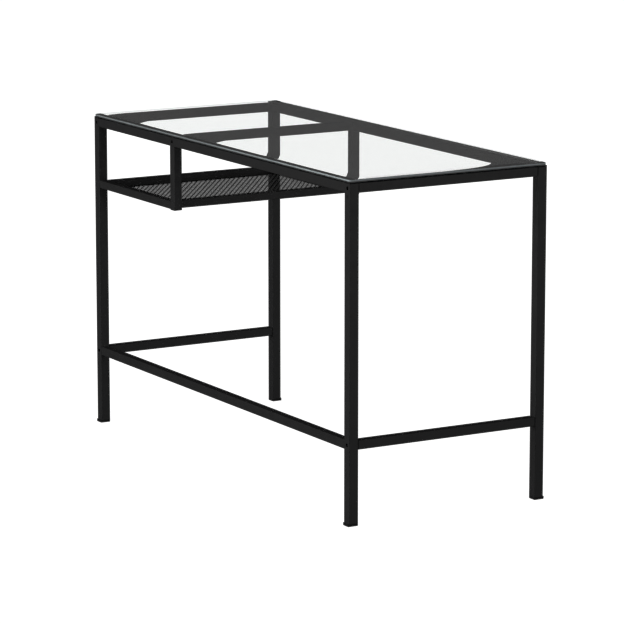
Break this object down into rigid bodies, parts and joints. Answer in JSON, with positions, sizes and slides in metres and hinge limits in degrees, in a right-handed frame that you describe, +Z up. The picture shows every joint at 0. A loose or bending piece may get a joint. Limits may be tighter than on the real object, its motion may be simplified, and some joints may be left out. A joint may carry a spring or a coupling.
{
  "type": "computer desk with keyboard tray",
  "caption": "Narrow glass-topped computer desk on a bolted black steel tube frame, with a fixed expanded-metal tray hung under the top at one end.",
  "frame": {"origin": "on the floor, under the centre of the desk's footprint", "axes": "+Z up; +X along the desk, towards the tray end; +Y towards the back, the side with the low stretcher, so the user sits on the -Y side"},
  "size_m": [1.2, 0.505, 0.755],
  "materials": {
    "black_powder_coat": "satin powder coat on steel tube",
    "mesh_black_powder_coat": "satin powder coat on expanded steel",
    "clear_glass": "clear tempered float glass, ground edge",
    "black_plastic": "moulded polyethylene",
    "clear_silicone": "clear soft disc",
    "black_oxide_steel": "black oxide socket-head bolts",
    "zinc_plated_steel": "zinc plated, hidden"
  },
  "bodies": {
    "root": {"beam_back": "black_powder_coat", "beam_bolts": "black_oxide_steel", "beam_cross": "black_powder_coat", "beam_front": "black_powder_coat", "beam_inserts": "zinc_plated_steel", "beam_left": "black_powder_coat", "beam_right": "black_powder_coat", "cross_beam_bolts": "black_oxide_steel", "cross_beam_inserts": "zinc_plated_steel", "foot_back_left": "black_plastic", "foot_back_right": "black_plastic", "foot_front_left": "black_plastic", "foot_front_right": "black_plastic", "glass_pad_back_left": "clear_silicone", "glass_pad_back_right": "clear_silicone", "glass_pad_front_left": "clear_silicone", "glass_pad_front_right": "clear_silicone", "glass_top": "clear_glass", "leg_back_left": "black_powder_coat", "leg_back_right": "black_powder_coat", "leg_blank_plug": "black_plastic", "leg_front_left": "black_powder_coat", "leg_front_right": "black_powder_coat", "leg_plug_back_left": "black_plastic", "leg_plug_back_right": "black_plastic", "leg_plug_front_left": "black_plastic", "leg_plug_front_right": "black_plastic", "post_back": "black_powder_coat", "post_front": "black_powder_coat", "post_plug_back": "black_plastic", "post_plug_front": "black_plastic", "stretcher_back": "black_powder_coat", "stretcher_bolts": "black_oxide_steel", "stretcher_inserts": "zinc_plated_steel", "stretcher_left": "black_powder_coat", "stretcher_right": "black_powder_coat", "tray_angle_back": "black_powder_coat", "tray_angle_front": "black_powder_coat", "tray_angle_left": "black_powder_coat", "tray_angle_right": "black_powder_coat", "tray_bolts": "black_oxide_steel", "tray_mesh": "mesh_black_powder_coat", "tray_nuts": "zinc_plated_steel", "tray_rail_back": "black_powder_coat", "tray_rail_front": "black_powder_coat", "tray_rail_left": "black_powder_coat", "tray_rail_right": "black_powder_coat"}
  },
  "joints": []
}
